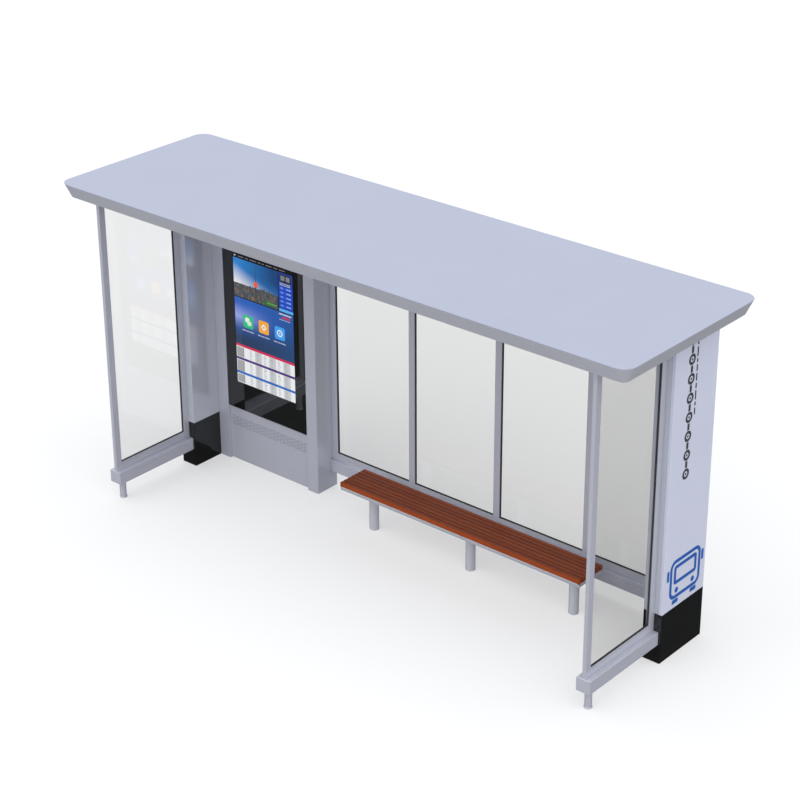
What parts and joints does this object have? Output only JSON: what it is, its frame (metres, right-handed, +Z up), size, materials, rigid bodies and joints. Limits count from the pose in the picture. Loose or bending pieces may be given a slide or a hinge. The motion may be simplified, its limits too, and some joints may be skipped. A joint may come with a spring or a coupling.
{
  "type": "bus shelter",
  "caption": "Open glazed bus shelter with a flat roof on two deep piers, glass back and end walls on raised beams, a portrait display cabinet and a slatted bench.",
  "frame": {"origin": "on the ground under the middle of the roof", "axes": "+X along the roof towards the right-hand pier as seen from the kerb, -Y towards the kerb, +Z up"},
  "size_m": [5.484, 1.6, 2.795],
  "materials": {
    "roof_paint": "satin pale blue-grey coating",
    "frame_paint": "satin grey powder coat",
    "plinth_paint": "satin black coating",
    "gasket_rubber": "matt black",
    "clear_glass": "clear toughened glass",
    "dark_vinyl": "dark satin film of the pier's plain line graphic",
    "blue_vinyl": "blue satin film of the pier's bus pictogram",
    "black_glass": "black back-printed gloss glass",
    "screen_face": "lit display behind gloss glass",
    "bench_paint": "satin light grey powder coat",
    "seat_wood": "oiled reddish-brown hardwood"
  },
  "bodies": {
    "root": {"roof_deck": "roof_paint", "roof_rim": "frame_paint", "roof_soffit": "frame_paint", "left_pier": "frame_paint", "right_pier": "frame_paint", "left_pier_panel": "frame_paint", "right_pier_panel": "frame_paint", "left_plinth": "plinth_paint", "right_plinth": "plinth_paint", "left_bottom_beam": "frame_paint", "right_bottom_beam": "frame_paint", "left_front_foot": "frame_paint", "right_front_foot": "frame_paint", "left_front_post": "frame_paint", "right_front_post": "frame_paint", "left_back_post": "frame_paint", "right_back_post": "frame_paint", "left_bottom_rail": "frame_paint", "right_bottom_rail": "frame_paint", "left_top_rail": "frame_paint", "right_top_rail": "frame_paint", "left_gasket": "gasket_rubber", "right_gasket": "gasket_rubber", "left_glass": "clear_glass", "right_glass": "clear_glass", "back_bottom_beam": "frame_paint", "back_bottom_rail": "frame_paint", "back_top_rail": "frame_paint", "back_left_post": "frame_paint", "back_mullion_1": "frame_paint", "back_mullion_2": "frame_paint", "back_mullion_3": "frame_paint", "back_right_post": "frame_paint", "back_gaskets": "gasket_rubber", "back_glass_1": "clear_glass", "back_glass_2": "clear_glass", "back_glass_3": "clear_glass", "back_glass_4": "clear_glass", "cabinet_body": "frame_paint", "cabinet_strips": "frame_paint", "cabinet_vent": "frame_paint", "display_surround": "black_glass", "display_screen": "screen_face", "bench_frame": "bench_paint", "bench_slats": "seat_wood", "bench_leg_1": "bench_paint", "bench_leg_2": "bench_paint", "bench_leg_3": "bench_paint"}
  },
  "joints": []
}
